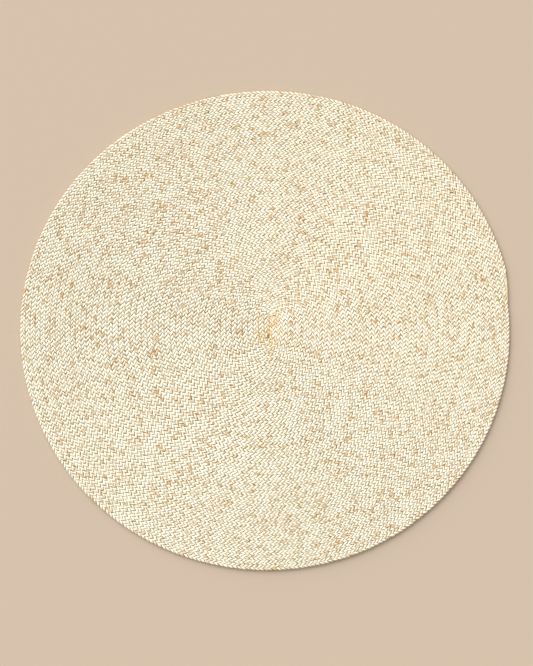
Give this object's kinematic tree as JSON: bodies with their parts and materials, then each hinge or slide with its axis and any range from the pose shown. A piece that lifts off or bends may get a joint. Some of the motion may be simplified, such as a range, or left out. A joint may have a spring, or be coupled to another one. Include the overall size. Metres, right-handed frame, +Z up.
{
  "type": "round braided rug",
  "caption": "Round flat rug of one long braid coiled in a spiral and sewn edge to edge, its tapered end bound with yarn on the rim.",
  "frame": {"origin": "middle of the rug's outline, on its flat underside", "axes": "+Z up out of the face that is walked on, +X along the rug's longest width"},
  "size_m": [1.8, 1.7626, 0.011],
  "materials": {
    "wool_braid": "matt cream wool yarn with tan flecks, braided in a herringbone",
    "golden_yarn": "matt golden tan yarn, wound smooth and close"
  },
  "bodies": {
    "root": {"braid_coil": "wool_braid", "tail_binding": "golden_yarn"}
  },
  "joints": []
}
